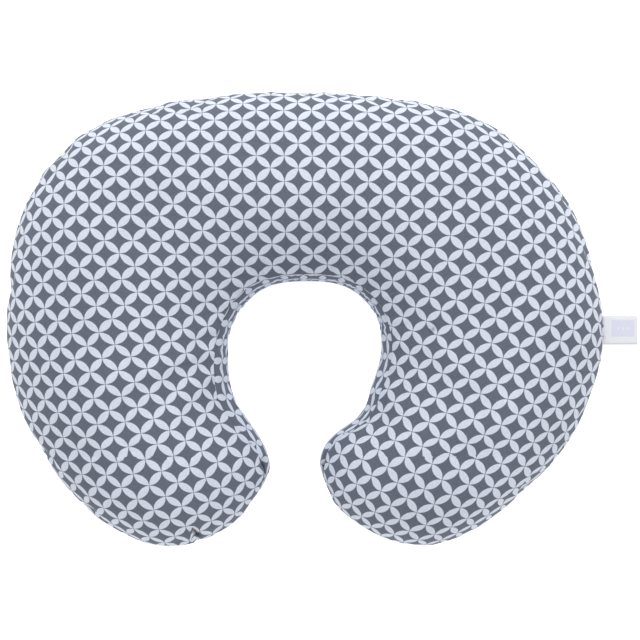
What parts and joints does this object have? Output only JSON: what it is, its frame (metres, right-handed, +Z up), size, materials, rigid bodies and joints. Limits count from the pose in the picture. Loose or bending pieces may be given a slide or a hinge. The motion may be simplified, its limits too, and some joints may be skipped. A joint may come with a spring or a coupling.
{
  "type": "nursing pillow",
  "caption": "C-shaped stuffed nursing pillow in a zipped slipcover with an overlapping-circles print, an inner gusset and a sewn-in side label.",
  "frame": {"origin": "on the surface it lies on, under the middle of the overall box, label included", "axes": "+Z up; +Y towards the closed back of the C; the mouth opens towards -Y; the sewn-in label points to +X"},
  "size_m": [0.5619, 0.4054, 0.15],
  "materials": {
    "printed_cotton": "plain woven cotton, matte, pale leaf lattice printed on mid grey",
    "label_satin": "soft woven label tape, slight sheen",
    "casing_cloth": "undyed woven lining, matte",
    "polyester_fibre": "siliconised hollow fibre, fluffy, matte",
    "zip_tape": "woven polyester tape, matte",
    "zip_coil": "nylon monofilament coil, satin",
    "zip_metal": "die-cast, satin nickel"
  },
  "bodies": {
    "pillow": {"casing_bottom_panel": "casing_cloth", "casing_care_label": "label_satin", "casing_top_panel": "casing_cloth", "cover_bottom_panel": "printed_cotton", "cover_care_label": "label_satin", "cover_inner_gusset": "printed_cotton", "cover_top_panel": "printed_cotton", "fill_core": "polyester_fibre", "zip_bottom_stop": "zip_metal", "zip_coil_lower": "zip_coil", "zip_coil_upper": "zip_coil", "zip_tape_lower": "zip_tape", "zip_tape_upper": "zip_tape", "zip_top_stop_lower": "zip_metal", "zip_top_stop_upper": "zip_metal"},
    "slider": {"zip_slider": "zip_metal"},
    "pull": {"zip_pull": "zip_metal"},
    "label": {"brand_label": "label_satin"}
  },
  "joints": [
    {"name": "zip_run", "type": "hinge", "parent": "pillow", "child": "slider", "pos_m": [-0.024, -0.4173, 0.0525], "axis": [0, 0, -1], "range_deg": [0, 22.8]},
    {"name": "pull_flip", "type": "hinge", "parent": "slider", "child": "pull", "pos_m": [-0.14621, 0.1888, 0.05188], "axis": [-0.0611, 0.3029, 0.9511], "range_deg": [0, 165]},
    {"name": "label_bend", "type": "hinge", "parent": "pillow", "child": "label", "pos_m": [0.2496, -0.01085, 0.0745], "axis": [0, 1, 0], "range_deg": [-60, 60], "stiffness_Nm_per_rad": 0.004}
  ]
}
